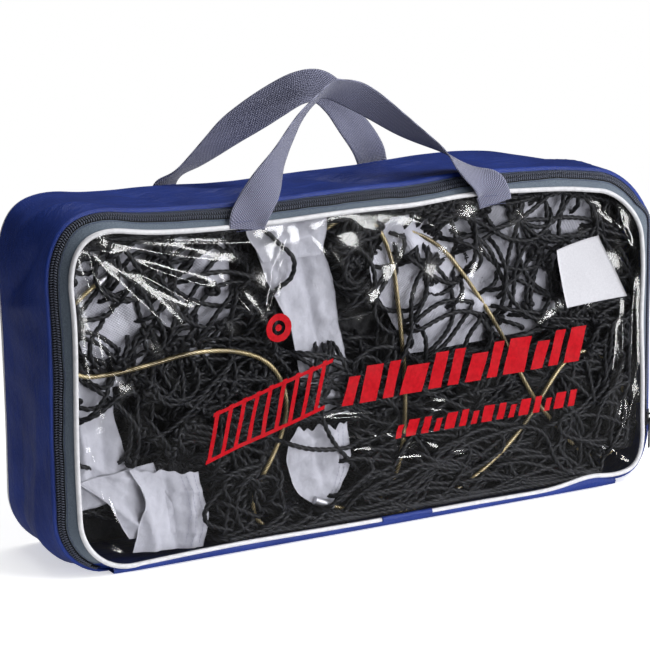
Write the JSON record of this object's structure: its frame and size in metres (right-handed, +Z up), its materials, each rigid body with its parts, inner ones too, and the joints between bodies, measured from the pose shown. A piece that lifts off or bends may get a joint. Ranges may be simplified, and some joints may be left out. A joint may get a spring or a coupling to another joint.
{
  "type": "bagged volleyball net",
  "caption": "Knotted volleyball net folded in a zipped carry bag with a clear front window and two webbing handles.",
  "frame": {"origin": "middle of the face that the bag stands on", "axes": "+X along the bag's length, +Z up, -Y out of the clear window"},
  "size_m": [0.501, 0.1109, 0.3256],
  "materials": {
    "blue_fabric": "satin",
    "white_piping": "satin",
    "zip_tape": "matte",
    "zip_coil": "satin",
    "black_metal": "gloss",
    "clear_film": "gloss",
    "label_paper": "matte",
    "grey_webbing": "matte",
    "black_twine": "matte",
    "white_tape": "matte",
    "jacketed_wire": "gloss",
    "ferrule_metal": "satin"
  },
  "bodies": {
    "bag": {"back_panel": "blue_fabric", "side_band": "blue_fabric", "bottom_panel": "blue_fabric", "back_piping": "white_piping", "zip_tape_outer": "zip_tape", "zip_coil_outer": "zip_coil", "zip_end_stops": "black_metal", "rear_handle_ends": "grey_webbing", "net_bundle": "black_twine", "headband_left": "white_tape", "headband_middle": "white_tape", "headband_low": "white_tape", "headband_right": "white_tape", "side_tape": "white_tape", "hemmed_tape_end": "white_tape", "headband_cable_left": "jacketed_wire", "headband_cable_right": "jacketed_wire", "cable_ferrules": "ferrule_metal"},
    "flap": {"front_window": "clear_film", "front_piping": "white_piping", "piping_joint_patch": "blue_fabric", "zip_tape_inner": "zip_tape", "zip_coil_inner": "zip_coil", "paper_label": "label_paper", "front_handle_ends": "grey_webbing"},
    "slider": {"zip_slider": "black_metal"},
    "puller": {"zip_puller": "black_metal"},
    "front_carry": {"front_handle": "grey_webbing"},
    "rear_carry": {"rear_handle": "grey_webbing"}
  },
  "joints": [
    {"name": "flap_swing", "type": "hinge", "parent": "bag", "child": "flap", "pos_m": [0, -0.048, 0.003], "axis": [1, 0, 0], "range_deg": [0, 88]},
    {"name": "slider_travel", "type": "slide", "parent": "bag", "child": "slider", "axis": [0, 0, 1], "range_m": [0, 0.14]},
    {"name": "puller_swing", "type": "hinge", "parent": "slider", "child": "puller", "pos_m": [0.24825, -0.04105, 0.0458], "axis": [-0.7071, -0.7071, 0], "range_deg": [0, 165]},
    {"name": "front_handle_swing", "type": "hinge", "parent": "flap", "child": "front_carry", "pos_m": [0, -0.0538, 0.2395], "axis": [1, 0, 0], "range_deg": [0, 190]},
    {"name": "rear_handle_swing", "type": "hinge", "parent": "bag", "child": "rear_carry", "pos_m": [0, 0.0551, 0.252], "axis": [-1, 0, 0], "range_deg": [0, 190]}
  ]
}
